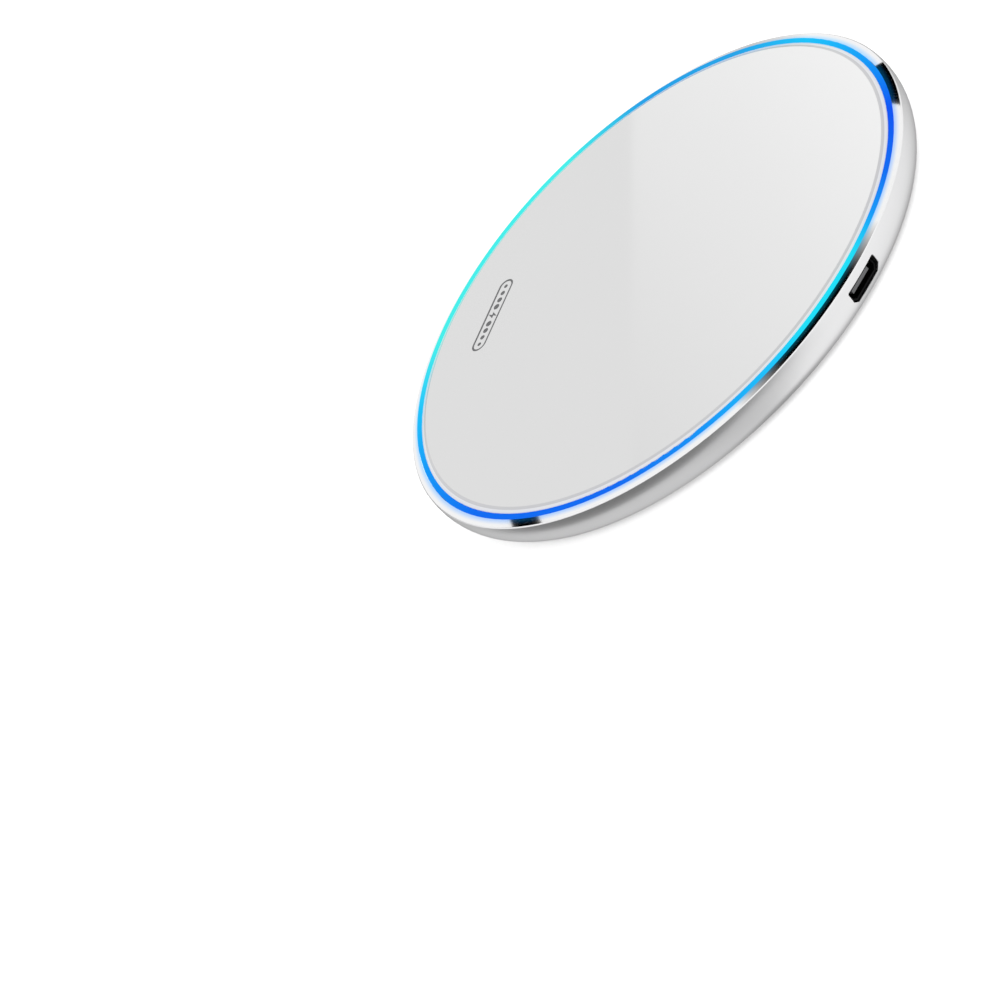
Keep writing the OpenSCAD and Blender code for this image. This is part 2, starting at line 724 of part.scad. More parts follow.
// Anti-slip ring in the base's groove, over the screws
foot_round = 0.25;
module antislip_ring() {
    color("lightgray") rotate_extrude($fn = 180) polygon([[foot_inner + foot_round, 0],
        [foot_outer - foot_round, 0], [foot_outer, foot_round], [foot_outer, groove_top],
        [foot_inner, groove_top], [foot_inner, foot_round]]);
}

body_frame();
cover_glass();
glass_adhesive();
light_guide();
led_flex();
leds();
coil_tray();
ferrite_adhesive();
ferrite_plate();
coil_winding();
thermistor();
circuit_board();
controller_chip();
power_transistors();
resonant_capacitors();
input_capacitors();
power_inductor();
crystal();
small_components();
port_shell();
port_tongue();
port_contacts();
base_cover();
base_screws();
antislip_ring();
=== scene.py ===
"""Looks of a round wireless charging pad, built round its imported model.

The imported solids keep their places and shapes. This file gives each of them its finish, adds the
printed mark on the glass, and sets up a plain pale studio with the camera.
"""

import logging
import math
from dataclasses import dataclass, field
from enum import Enum
from typing import Sequence

import bmesh
import bpy
from mathutils import Matrix, Vector


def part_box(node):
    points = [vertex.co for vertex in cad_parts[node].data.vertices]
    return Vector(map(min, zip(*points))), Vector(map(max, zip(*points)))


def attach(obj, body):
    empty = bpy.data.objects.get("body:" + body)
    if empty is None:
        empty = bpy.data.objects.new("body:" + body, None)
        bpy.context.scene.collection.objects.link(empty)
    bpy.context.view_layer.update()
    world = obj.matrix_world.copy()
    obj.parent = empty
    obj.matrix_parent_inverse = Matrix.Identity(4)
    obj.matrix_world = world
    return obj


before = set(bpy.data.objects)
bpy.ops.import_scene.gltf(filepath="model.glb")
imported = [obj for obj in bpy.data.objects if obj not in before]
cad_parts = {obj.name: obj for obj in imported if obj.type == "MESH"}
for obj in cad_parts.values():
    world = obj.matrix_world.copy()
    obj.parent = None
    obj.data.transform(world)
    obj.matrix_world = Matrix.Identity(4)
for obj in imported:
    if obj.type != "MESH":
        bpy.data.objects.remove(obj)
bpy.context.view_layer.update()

ROOT = "root"
MM = 0.001
FULL_TURN = 2 * math.pi
log = logging.getLogger("charging_pad")

Colour = tuple[float, float, float]
Point = tuple[float, float, float]
Socket = bpy.types.NodeSocket
Material = bpy.types.Material


def linear(code: str) -> Colour:
    """Turns a display colour into scene-linear light.

    Args:
        code: Six hexadecimal digits, red first.

    Returns:
        Red, green and blue from 0 to 1, linear.
    """
    channels = (int(code[i:i + 2], 16) / 255 for i in (0, 2, 4))
    return tuple(c / 12.92 if c <= 0.04045 else ((c + 0.055) / 1.055) ** 2.4 for c in channels)


class Glow(Enum):
    """Colours that the light ring shows."""

    AQUA = "44EDE8"
    CYAN = "17DCF4"
    SKY = "18C0F7"
    AZURE = "0C94F4"
    DUSK = "229FE4"
    BLUE = "0463EE"
    DEEP = "0249F0"


class Direction(Enum):
    """Which way a texture is stretched."""

    EVEN = (1.0, 1.0, 1.0)
    FLAT = (1.0, 1.0, 0.15)


# ---------------------------------------------------------------- shader helper


class Nodes:
    """Nodes under construction in one tree."""

    def __init__(self, tree: bpy.types.NodeTree, coords: str) -> None:
        """Starts with the coordinates that the rest is worked out from.

        Args:
            tree: The tree.
            coords: Name of the coordinate output.
        """
        self.tree = tree
        self.coords = self.node("TexCoord").outputs[coords]

    def node(self, kind: str, **settings: object) -> bpy.types.Node:
        """Adds a node and sets its properties.

        Args:
            kind: Node type without the ShaderNode prefix.
            **settings: Node properties.

        Returns:
            The new node.
        """
        node = self.tree.nodes.new("ShaderNode" + kind)
        for name, value in settings.items():
            setattr(node, name, value)
        return node

    def feed(self, source: Socket, target: Socket) -> None:
        """Links one socket to another.

        Args:
            source: Output socket.
            target: Input socket.
        """
        self.tree.links.new(source, target)

    def math(self, operation: str, first: object, second: object = 0.0) -> Socket:
        """Adds a math node.

        Args:
            operation: Blender's name for the operation.
            first: A socket or a number.
            second: A socket or a number.

        Returns:
            The result.
        """
        node = self.node("Math", operation=operation)
        for socket, value in zip(node.inputs, (first, second)):
            if isinstance(value, bpy.types.NodeSocket):
                self.feed(value, socket)
            else:
                socket.default_value = value
        return node.outputs[0]

    def axes(self) -> tuple[Socket, Socket, Socket]:
        """Splits the object coordinates.

        Returns:
            The x, y and z sockets.
        """
        split = self.node("SeparateXYZ")
        self.feed(self.coords, split.inputs[0])
        return tuple(split.outputs)

    def length(self, first: Socket, second: Socket) -> Socket:
        """Length of the diagonal between two legs."""
        squares = [self.math("MULTIPLY", leg, leg) for leg in (first, second)]
        return self.math("SQRT", self.math("ADD", *squares))

    def radius(self) -> Socket:
        """Distance from the pad's axis, in metres."""
        return self.length(*self.axes()[:2])

    def bearing(self) -> Socket:
        """Bearing round the pad's axis, as a share of a turn from 0 to 1."""
        x, y, _ = self.axes()
        turn = self.math("DIVIDE", self.math("ARCTAN2", y, x), FULL_TURN)
        return self.math("ADD", turn, 0.5)

    def rise(self, value: Socket, start: float, end: float, smooth: bool = False) -> Socket:
        """A mask that goes from 0 to 1 as a value goes from start to end.

        Args:
            value: The value.
            start: Where the mask is 0.
            end: Where it is 1.
            smooth: Whether it eases at both ends.

        Returns:
            The mask.
        """
        node = self.node("MapRange", interpolation_type="SMOOTHSTEP" if smooth else "LINEAR")
        self.feed(value, node.inputs["Value"])
        node.inputs["From Min"].default_value = start
        node.inputs["From Max"].default_value = end
        return node.outputs["Result"]

    def window(self, value: Socket, low: float, high: float, blur: float) -> Socket:
        """A soft-edged mask, 1 where a value lies between two limits.

        Args:
            value: The value to test.
            low: Lower limit.
            high: Upper limit.
            blur: Width of each soft edge.

        Returns:
            The mask.
        """
        return self.math("MULTIPLY", self.rise(value, low - blur, low + blur),
                         self.rise(value, high + blur, high - blur))

    def noise(self, scale: float, detail: float = 3.0, stretch: Direction = Direction.EVEN) -> Socket:
        """Adds a noise texture on the object coordinates.

        Args:
            scale: Cells to a metre.
            detail: Octaves.
            stretch: Direction in which it is stretched.

        Returns:
            The noise, from 0 to 1.
        """
        mapping = self.node("Mapping")
        mapping.inputs["Scale"].default_value = stretch.value
        self.feed(self.coords, mapping.inputs["Vector"])
        node = self.node("TexNoise")
        node.inputs["Scale"].default_value = scale
        node.inputs["Detail"].default_value = detail
        self.feed(mapping.outputs[0], node.inputs["Vector"])
        return node.outputs["Fac"]

    def ramp(self, value: Socket, stops: Sequence[tuple[float, Colour]]) -> Socket:
        """Adds a colour ramp.

        Args:
            value: The value that drives it.
            stops: Places from 0 to 1 and their colours.

        Returns:
            The colour.
        """
        node = self.node("ValToRGB")
        elements = node.color_ramp.elements
        node.color_ramp.interpolation = "LINEAR"
        for index, (place, colour) in enumerate(stops):
            element = elements[index] if index < 2 else elements.new(place)
            element.position = place
            element.color = (*colour, 1.0)
        self.feed(value, node.inputs["Fac"])
        return node.outputs["Color"]

    def blend(self, mask: Socket, base: object, top: object) -> Socket:
        """Mixes two colours by a mask.

        Args:
            mask: 0 gives base, 1 gives top.
            base: A colour or a socket.
            top: A colour or a socket.

        Returns:
            The mixed colour.
        """
        node = self.node("Mix", data_type="RGBA")
        self.feed(mask, node.inputs["Factor"])
        for socket, value in ((node.inputs[6], base), (node.inputs[7], top)):
            if isinstance(value, bpy.types.NodeSocket):
                self.feed(value, socket)
            else:
                socket.default_value = (*value, 1.0)
        return node.outputs[2]


class Graph(Nodes):
    """A material under construction, with one Principled shader."""

    def __init__(self, name: str) -> None:
        """Starts an empty material.

        Args:
            name: Name of the material.
        """
        self.material = bpy.data.materials.new(name)
        self.material.use_nodes = True
        super().__init__(self.material.node_tree, "Object")
        self.shader = self.tree.nodes["Principled BSDF"]

    def set(self, **values: object) -> "Graph":
        """Sets uniform values on the shader's own sockets.

        Args:
            **values: Socket names with underscores for blanks, and their values.

        Returns:
            The graph itself.
        """
        for name, value in values.items():
            socket = self.shader.inputs[name.replace("_", " ")]
            socket.default_value = (*value, 1.0) if isinstance(value, tuple) else value
        return self

    def paint(self, colour: Socket, name: str = "Base Color") -> None:
        """Feeds a colour to the shader."""
        self.feed(colour, self.shader.inputs[name])

    def vary(self, value: Socket, low: float, high: float, name: str) -> None:
        """Drives a shader input between two values.

        Args:
            value: Driving value from 0 to 1.
            low: Input at 0.
            high: Input at 1.
            name: Name of the shader input.
        """
        node = self.node("MapRange")
        node.inputs["To Min"].default_value = low
        node.inputs["To Max"].default_value = high
        self.feed(value, node.inputs["Value"])
        self.feed(node.outputs["Result"], self.shader.inputs[name])

    def cone_normal(self, mask: Socket, slope: float) -> Socket:
        """The exact normal of a turned cone where a mask is 1, and the mesh's own elsewhere.

        Args:
            mask: Where the cone is.
            slope: Fall of the cone for each unit of radius.

        Returns:
            The normal.
        """
        x, y, _ = self.axes()
        scale = self.math("DIVIDE", slope, self.radius())
        join = self.node("CombineXYZ")
        self.feed(self.math("MULTIPLY", x, scale), join.inputs[0])
        self.feed(self.math("MULTIPLY", y, scale), join.inputs[1])
        join.inputs[2].default_value = 1.0
        unit = self.node("VectorMath", operation="NORMALIZE")
        self.feed(join.outputs[0], unit.inputs[0])
        mix = self.node("Mix", data_type="VECTOR")
        self.feed(mask, mix.inputs["Factor"])
        self.feed(self.node("NewGeometry").outputs["Normal"], mix.inputs[4])
        self.feed(unit.outputs[0], mix.inputs[5])
        return mix.outputs[1]

    def relief(self, height: Socket, depth: float, strength: float,
               normal: Socket | None = None) -> None:
        """Adds bump to the shader's normal.

        Args:
            height: Height from 0 to 1.
            depth: Height of the full range, in metres.
            strength: Share of the bump that shows.
            normal: The normal that the bump stands on, where it isn't the mesh's own.
        """
        node = self.node("Bump")
        if normal:
            self.feed(normal, node.inputs["Normal"])
        node.inputs["Strength"].default_value = strength
        node.inputs["Distance"].default_value = depth
        self.feed(height, node.inputs["Height"])
        self.feed(node.outputs["Normal"], self.shader.inputs["Normal"])


# ---------------------------------------------------------------- finishes


GLOW_STOPS: tuple[tuple[float, Glow], ...] = (
    (-180.0, Glow.BLUE), (-152.0, Glow.BLUE), (-130.0, Glow.AZURE), (-114.0, Glow.SKY),
    (-104.0, Glow.CYAN), (-87.0, Glow.CYAN), (-77.0, Glow.AZURE), (-66.0, Glow.BLUE),
    (-48.0, Glow.DEEP), (-28.0, Glow.AZURE), (-4.0, Glow.SKY), (16.0, Glow.DUSK),
    (40.0, Glow.DUSK), (58.0, Glow.AQUA), (104.0, Glow.AQUA), (122.0, Glow.SKY),
    (142.0, Glow.AZURE), (168.0, Glow.BLUE))


def glow_colour(graph: Nodes, wash: float = 0.0) -> Socket:
    """Colour of the light ring at each bearing.

    Args:
        graph: The nodes to add to.
        wash: How far every colour is drawn towards sky blue, from 0 to 1.

    Returns:
        The colour.
    """
    pale = linear(Glow.SKY.value)
    places = []
    for bearing, glow in GLOW_STOPS:
        colour = tuple(c + wash * (p - c) for c, p in zip(linear(glow.value), pale))
        places.append(((bearing + 180) / 360, colour))
    return graph.ramp(graph.bearing(), places)


@dataclass(frozen=True)
class BlastedMetal:
    """Bead-blasted aluminium wall, painted shade in the socket's slot, and a mirror-cut chamfer with
    the ring's spill light painted on as emission and a colour tint.
    """

    colour: Colour = (0.90, 0.90, 0.905)
    # Painted shade: near-black colour for the inside of the socket's slot.
    slot_shade_colour: Colour = (0.012, 0.012, 0.012)
    wall_roughness: float = 0.27
    chamfer_roughness: float = 0.03
    chamfer_width: float = 1.34 * MM
    chamfer_slope: float = 0.28
    side_radius: float = 6.3 * MM
    waist_drop: float = 1.6 * MM
    wall_skin: float = 0.1 * MM
    painted_spill_strength: float = 0.1
    painted_spill_tint: float = 0.5
    painted_spill_reach: float = 0.75
    painted_spill_wash: float = 0.5
    rim_land: float = 0.24 * MM
    mask_blur: float = 0.01 * MM
    slot_shade_blur: float = 0.1 * MM
    cloud_cells: float = 220.0
    cloud_shade: float = 0.985
    cloud_roughness: float = 0.05
    grain: float = 9000.0
    grain_depth: float = 0.004 * MM
    grain_strength: float = 0.3

    def masks(self, graph: Graph, edge: float, top: float) -> tuple[Socket, Socket]:
        """Tells the chamfer and the painted shade in the socket's slot from the side wall.

        Args:
            graph: The material's nodes.
            edge: Radius of the body.
            top: Height of the chamfer's top edge.

        Returns:
            The chamfer's mask and the mask of the painted shade in the socket's slot.
        """
        height = graph.axes()[2]
        fall = self.chamfer_slope * self.chamfer_width
        on_top = graph.rise(height, top - fall - self.mask_blur, top - fall + self.mask_blur)
        across = graph.math("SUBTRACT", graph.radius(), edge - self.side_radius)
        above = graph.math("SUBTRACT", height, top - self.waist_drop)
        depth = graph.length(across, above)
        # Painted shade: inside the wall's turned skin and below the chamfer, where the socket's slot
        # opens, the metal is masked to be painted near black.
        inside = graph.rise(depth, self.side_radius - self.wall_skin,
                            self.side_radius - 2 * self.wall_skin)
        low = graph.rise(height, top - 2 * fall, top - 2 * fall - self.slot_shade_blur)
        return on_top, graph.math("MULTIPLY", inside, low)

    def build(self, name: str, edge: float, top: float) -> Material:
        """Makes the material.

        Args:
            name: Name of the material.
            edge: Radius of the body.
            top: Height of the chamfer's top edge.

        Returns:
            The material.
        """
        graph = Graph(name).set(Emission_Strength=self.painted_spill_strength)
        polished, slot_shade = self.masks(graph, edge, top)
        inner = edge - self.chamfer_width - self.rim_land
        reach = self.painted_spill_reach * self.chamfer_width
        # Painted light: near the ring, the polished chamfer emits a glow in the ring's colours and its
        # base colour is tinted towards them.
        spill_nearness = graph.rise(graph.radius(), inner + reach, inner, smooth=True)
        painted_spill_mask = graph.math("MULTIPLY", spill_nearness, polished)
        light = glow_colour(graph, self.painted_spill_wash)
        graph.paint(graph.blend(painted_spill_mask, (0.0, 0.0, 0.0), light), "Emission Color")
        cloud = graph.noise(self.cloud_cells, 2.0)
        metal = graph.blend(cloud, self.colour, tuple(self.cloud_shade * c for c in self.colour))
        spill_tinted_metal = graph.blend(graph.math("MULTIPLY", painted_spill_mask, self.painted_spill_tint), metal, light)
        # Painted shade: the socket's slot is painted near black and not metallic.
        graph.paint(graph.blend(slot_shade, spill_tinted_metal, self.slot_shade_colour))
        graph.vary(slot_shade, 1.0, 0.0, "Metallic")
        wall = graph.math("ADD", self.wall_roughness,
                          graph.math("MULTIPLY", cloud, self.cloud_roughness))
        rough = graph.node("Mix", data_type="FLOAT")
        graph.feed(polished, rough.inputs["Factor"])
        graph.feed(wall, rough.inputs[2])
        rough.inputs[3].default_value = self.chamfer_roughness
        graph.feed(rough.outputs[0], graph.shader.inputs["Roughness"])
        blasted = graph.math("SUBTRACT", 1.0, polished)
        coarse = graph.math("MULTIPLY", graph.noise(self.grain, 2.0), blasted)
        normal = graph.cone_normal(polished, self.chamfer_slope)
        graph.relief(coarse, self.grain_depth, self.grain_strength, normal)
        return graph.material


@dataclass(frozen=True)
class PaintedGlass:
    """Polished glass, painted white behind; the bevel band is painted greyer as shade, and the land at
    the outer edge is coloured lighter than the top.
    """

    paint: Colour = (0.705, 0.705, 0.705)
    painted_bevel_shade: Colour = (0.585, 0.585, 0.59)
    land: Colour = (0.80, 0.80, 0.80)
    roughness: float = 0.03
    land_width: float = 0.56 * MM
    bevel_width: float = 0.5 * MM
    edge_blur: float = 0.02 * MM
    coat_cells: float = 60.0
    coat_shade: float = 0.99
    polish_cells: float = 900.0
    polish_range: tuple[float, float] = (0.8, 1.3)

    def build(self, name: str, edge: float) -> Material:
        """Makes the material.

        Args:
            name: Name of the material.
            edge: Radius of the glass.

        Returns:
            The material.
        """
        graph = Graph(name).set(Roughness=self.roughness, IOR=1.5)
        radius = graph.radius()
        inner_land = edge - self.land_width
        on_bevel = graph.window(radius, inner_land - self.bevel_width, inner_land, self.edge_blur)
        on_land = graph.window(radius, inner_land, edge + MM, self.edge_blur)
        coat = graph.noise(self.coat_cells, 2.0)
        paint = graph.blend(coat, self.paint, tuple(self.coat_shade * c for c in self.paint))
        # Painted shade: the bevel band takes a greyer colour than the top, and the outer land a
        # lighter one.
        graph.paint(graph.blend(on_land, graph.blend(on_bevel, paint, self.painted_bevel_shade), self.land))
        low, high = (self.roughness * share for share in self.polish_range)
        graph.vary(graph.noise(self.polish_cells, 4.0), low, high, "Roughness")
        return graph.material


@dataclass(frozen=True)
class GlowingGuide:
    """Clear diffusing plastic, lit from below in colours that change round the ring."""

    strength: float = 1.0
    roughness: float = 0.6
    tint: Colour = (0.004, 0.02, 0.03)
    pale_tint: Colour = (0.008, 0.03, 0.04)
    cells: float = 400.0

    def build(self, name: str) -> Material:
        """Makes the material.

        Args:
            name: Name of the material.

        Returns:
            The material.
        """
        graph = Graph(name).set(Roughness=self.roughness, IOR=1.45, Specular_IOR_Level=0.0,
                                Emission_Strength=self.strength)
        graph.paint(glow_colour(graph), "Emission Color")
        graph.paint(graph.blend(graph.noise(self.cells), self.tint, self.pale_tint))
        return graph.material


@dataclass(frozen=True)
class Moulded:
    """Moulded plastic, rubber or pressed powder with a fine spark texture."""

    colour: Colour
    roughness: float = 0.5
    grain: float = 3500.0
    depth: float = 0.01 * MM
    mottle: float = 0.08
    specular: float = 0.5
    stretch: Direction = Direction.EVEN
    cloud_size: float = 25.0
    wear: float = 0.15

    def build(self, name: str) -> Material:
        """Makes the material.

        Args:
            name: Name of the material.

        Returns:
            The material.
        """
        graph = Graph(name).set(Specular_IOR_Level=self.specular)
        cloud = graph.noise(self.grain / self.cloud_size, 3.0, self.stretch)
        shade = tuple(c * (1 - self.mottle) for c in self.colour)
        graph.paint(graph.blend(cloud, self.colour, shade))
        texture = graph.noise(self.grain, 3.0, self.stretch)
        graph.vary(texture, self.roughness * (1 - self.wear),
                   min(1.0, self.roughness * (1 + self.wear)), "Roughness")
        graph.relief(texture, self.depth, 0.6)
        return graph.material


@dataclass(frozen=True)
class Plated:
    """Rolled or plated metal with fine drawing lines and slight tarnish."""

    colour: Colour
    roughness: float = 0.25
    grain: float = 2500.0
    tarnish: float = 0.1
    stain_cells: float = 300.0
    sheen_range: tuple[float, float] = (0.7, 1.4)

    def build(self, name: str) -> Material:
        """Makes the material.

        Args:
            name: Name of the material.

        Returns:
            The material.
        """
        graph = Graph(name).set(Metallic=1.0)
        dull = tuple(c * (1 - self.tarnish) for c in self.colour)
        graph.paint(graph.blend(graph.noise(self.stain_cells), self.colour, dull))
        lines = graph.noise(self.grain, 2.0, Direction.FLAT)
        low, high = (self.roughness * share for share in self.sheen_range)
        graph.vary(lines, low, high, "Roughness")
        graph.relief(lines, 0.002 * MM, 0.3)
        return graph.material


@dataclass(frozen=True)
class SolderMask:
    """Green lacquer over copper tracks, with bare plated spots."""

    lacquer: Colour = (0.010, 0.110, 0.038)
    track: Colour = (0.022, 0.190, 0.060)
    spot: Colour = (0.80, 0.62, 0.28)
    cells: float = 260.0
    loops: float = 6.0
    track_share: float = 0.22
    spot_share: float = 0.05
    track_blur: float = 0.03
    lacquer_cells: float = 1500.0
    lacquer_roughness: tuple[float, float] = (0.28, 0.4)

    def build(self, name: str) -> Material:
        """Makes the material.

        Args:
            name: Name of the material.

        Returns:
            The material.
        """
        graph = Graph(name).set(Coat_Weight=0.4, Coat_Roughness=0.2)
        squares = graph.node("TexVoronoi", distance="CHEBYCHEV", voronoi_dimensions="2D")
        squares.inputs["Scale"].default_value = self.cells
        graph.feed(graph.coords, squares.inputs["Vector"])
        distance = squares.outputs["Distance"]
        phase = graph.math("FRACT", graph.math("MULTIPLY", distance, self.loops))
        half = self.track_share / 2
        tracks = graph.window(phase, 0.5 - half, 0.5 + half, self.track_blur)
        spots = graph.rise(distance, self.spot_share * 1.2, self.spot_share)
        lacquered = graph.blend(tracks, self.lacquer, self.track)
        graph.paint(graph.blend(spots, lacquered, self.spot))
        graph.vary(spots, 0.0, 1.0, "Metallic")
        graph.vary(graph.noise(self.lacquer_cells), *self.lacquer_roughness, "Roughness")
        graph.relief(tracks, 0.02 * MM, 0.6)
        return graph.material


@dataclass(frozen=True)
class LitzCopper:
    """Enamelled copper strands, twisted into one wire."""

    copper: Colour = (0.72, 0.30, 0.13)
    shade: Colour = (0.40, 0.14, 0.05)
    strands: float = 2600.0
    strand_roughness: tuple[float, float] = (0.45, 0.25)

    def build(self, name: str) -> Material:
        """Makes the material.

        Args:
            name: Name of the material.

        Returns:
            The material.
        """
        graph = Graph(name).set(Metallic=0.75, Coat_Weight=0.6, Coat_Roughness=0.15)
        fibres = graph.noise(self.strands, 2.0, Direction.FLAT)
        graph.paint(graph.blend(fibres, self.shade, self.copper))
        graph.vary(fibres, *self.strand_roughness, "Roughness")
        graph.relief(fibres, 0.03 * MM, 0.8)
        return graph.material


# ---------------------------------------------------------------- mesh helpers


def new_object(name: str, mesh: bpy.types.Mesh, material: Material) -> bpy.types.Object:
    """Links a mesh into the scene with one material.

    Args:
        name: Name of the object.
        mesh: Its mesh.
        material: Its material.

    Returns:
        The object.
    """
    piece = bpy.data.objects.new(name, mesh)
    bpy.context.scene.collection.objects.link(piece)
    mesh.materials.append(material)
    return piece


def place_piece(piece: bpy.types.Object) -> None:
    """Hands a new piece to the frame.

    Args:
        piece: The piece.
    """
    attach(piece, ROOT)
    log.info("%s: %d faces", piece.name, len(piece.data.polygons))


def dress(node: str, material: Material) -> None:
    """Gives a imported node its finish.

    Args:
        node: Name of the node.
        material: Its finish.
    """
    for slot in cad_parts[node].material_slots:
        slot.material = material
    log.info("%s wears %s", node, material.name)


def mesh_from(name: str, points: Sequence[Point], faces: Sequence[Sequence[int]]) -> bpy.types.Mesh:
    """Builds a mesh and turns its faces outwards.

    Args:
        name: Name of the mesh.
        points: Its corners.
        faces: Its faces.

    Returns:
        The mesh.
    """
    mesh = bpy.data.meshes.new(name)
    mesh.from_pydata([tuple(p) for p in points], [], [tuple(f) for f in faces])
    work = bmesh.new()
    work.from_mesh(mesh)
    bmesh.ops.recalc_face_normals(work, faces=work.faces)
    work.to_mesh(mesh)
    work.free()
    return mesh


# ---------------------------------------------------------------- body and glass


@dataclass
class PrintedMark:
    """A generic mark in thin ink: an outlined pill with a bolt between rows of dots."""

    length: float = 14.9 * MM
    width: float = 3.0 * MM
    line: float = 0.36 * MM
    radius: float = 36.6 * MM
    bearing: float = 100.1
    ink_thickness: float = 0.02 * MM
    sink: float = 0.01 * MM
    dot_radii: tuple[float, ...] = (0.56 * MM, 0.5 * MM, 0.44 * MM, 0.36 * MM)
    dot_pitch: float = 1.42 * MM
    first_dot: float = 1.75 * MM
    dot_sides: int = 20
    bolt_height: float = 2.1 * MM
    bolt_corners: tuple[tuple[float, float], ...] = (
        (0.30, 1.0), (-0.62, -0.12), (-0.08, -0.12), (-0.30, -1.0), (0.62, 0.16), (0.08, 0.16))

    def pill(self, shrink: float, steps: int = 24) -> list[tuple[float, float]]:
        """Outline of the pill.

        Args:
            shrink: How far inside the mark's own edge it runs.
            steps: Steps in each round end.

        Returns:
            Points along the outline.
        """
        reach = (self.length - self.width) / 2
        round_end = self.width / 2 - shrink
        ends = ((1, -math.pi / 2), (-1, math.pi / 2))
        return [(side * reach + round_end * math.cos(start + math.pi * i / steps),
                 round_end * math.sin(start + math.pi * i / steps))
                for side, start in ends for i in range(steps + 1)]

    def bolt(self) -> list[tuple[float, float]]:
        """Outline of the lightning bolt, drawn across the pill."""
        half = self.bolt_height / 2
        return [(x * half, y * half) for x, y in self.bolt_corners]

    def shapes(self) -> list[list[tuple[float, float]]]:
        """Every filled shape inside the pill."""
        shapes = [self.bolt()]
        turns = [FULL_TURN * i / self.dot_sides for i in range(self.dot_sides)]
        for side in (-1, 1):
            for index, size in enumerate(self.dot_radii):
                middle = side * (self.first_dot + index * self.dot_pitch)
                shapes.append([(middle + size * math.cos(t), size * math.sin(t)) for t in turns])
        return shapes

    def build(self, top: float) -> bpy.types.Mesh:
        """Builds the ink as closed flat solids.

        Args:
            top: Height of the ink's upper face.

        Returns:
            The mesh.
        """
        work = bmesh.new()
        outer, inner = self.pill(0.0), self.pill(self.line)
        count = len(outer)
        rings = [[work.verts.new((x, y, z)) for x, y in outline]
                 for outline in (outer, inner) for z in (0.0, -self.ink_thickness)]
        for a, b in ((0, 2), (1, 3), (0, 1), (2, 3)):
            for i in range(count):
                j = (i + 1) % count
                work.faces.new((rings[a][i], rings[a][j], rings[b][j], rings[b][i]))
        for outline in self.shapes():
            upper = [work.verts.new((x, y, 0.0)) for x, y in outline]
            lower = [work.verts.new((x, y, -self.ink_thickness)) for x, y in outline]
            work.faces.new(upper)
            work.faces.new(lower[::-1])
            for i in range(len(outline)):
                j = (i + 1) % len(outline)
                work.faces.new((upper[i], lower[i], lower[j], upper[j]))
        bmesh.ops.recalc_face_normals(work, faces=work.faces)
        place = (Matrix.Rotation(math.radians(self.bearing), 4, "Z")
                 @ Matrix.Translation((self.radius, 0.0, top)) @ Matrix.Rotation(math.pi / 2, 4, "Z"))
        bmesh.ops.transform(work, matrix=place, verts=work.verts)
        mesh = bpy.data.meshes.new("printed_mark")
        work.to_mesh(mesh)
        work.free()
        return mesh


@dataclass
class Body:
    """The metal ring, the glass and the mark printed on it."""

    metal: BlastedMetal = field(default_factory=BlastedMetal)
    glass: PaintedGlass = field(default_factory=PaintedGlass)
    mark: PrintedMark = field(default_factory=PrintedMark)
    ink: Moulded = Moulded((0.10, 0.10, 0.105), 0.45, 6000.0, 0.001 * MM)

    def build(self) -> None:
        """Prints the mark in its shallow seat on the glass."""
        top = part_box("cover_glass")[1].z
        mesh = self.mark.build(top - self.mark.sink)
        place_piece(new_object("printed_mark", mesh, self.ink.build("mark_ink")))

    def dress(self) -> None:
        """Gives the ring and the glass their finishes."""
        outer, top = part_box("body_frame")[1].x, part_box("body_frame")[1].z
        dress("body_frame", self.metal.build("blasted_aluminium", outer, top))
        dress("cover_glass", self.glass.build("painted_glass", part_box("cover_glass")[1].x))


# ---------------------------------------------------------------- light ring


@dataclass
class LightRing:
    """The light guide with the diodes and the flexible circuit under it."""

    guide: GlowingGuide = GlowingGuide()
    flex: Moulded = Moulded((0.45, 0.17, 0.03), 0.3, 2500.0, 0.002 * MM, 0.2)
    lens: Moulded = Moulded((0.80, 0.74, 0.38), 0.2, 2000.0, 0.002 * MM)

    def dress(self) -> None:
        """Lights the guide and finishes what is under it."""
        dress("light_guide", self.guide.build("glowing_guide"))
        dress("led_flex", self.flex.build("polyimide_flex"))
        dress("leds", self.lens.build("diode_resin"))


# ---------------------------------------------------------------- coil, board, socket and base


@dataclass
class CoilStack:
    """The tray with the ferrite, the coil and the thermistor, and the tape under the glass."""

    tape: Moulded = Moulded((0.30, 0.30, 0.31), 0.8, 2200.0, 0.02 * MM, 0.15, 0.3)
    tray: Moulded = Moulded((0.76, 0.76, 0.75), 0.5, 3500.0, 0.012 * MM, 0.04)
    film: Moulded = Moulded((0.62, 0.61, 0.57), 0.6, 1800.0, 0.01 * MM, 0.12, 0.3)
    ferrite: Moulded = Moulded((0.030, 0.029, 0.028), 0.42, 2600.0, 0.01 * MM, 0.3, 0.4)
    wire: LitzCopper = LitzCopper()
    bead: Moulded = Moulded((0.018, 0.018, 0.020), 0.25, 900.0, 0.004 * MM, 0.2)

    def dress(self) -> None:
        """Gives each piece its finish."""
        dress("glass_adhesive", self.tape.build("foam_tape"))
        dress("coil_tray", self.tray.build("tray_plastic"))
        dress("ferrite_adhesive", self.film.build("ferrite_film"))
        dress("ferrite_plate", self.ferrite.build("sintered_ferrite"))
        dress("coil_winding", self.wire.build("litz_copper"))
        dress("thermistor", self.bead.build("thermistor_resin"))


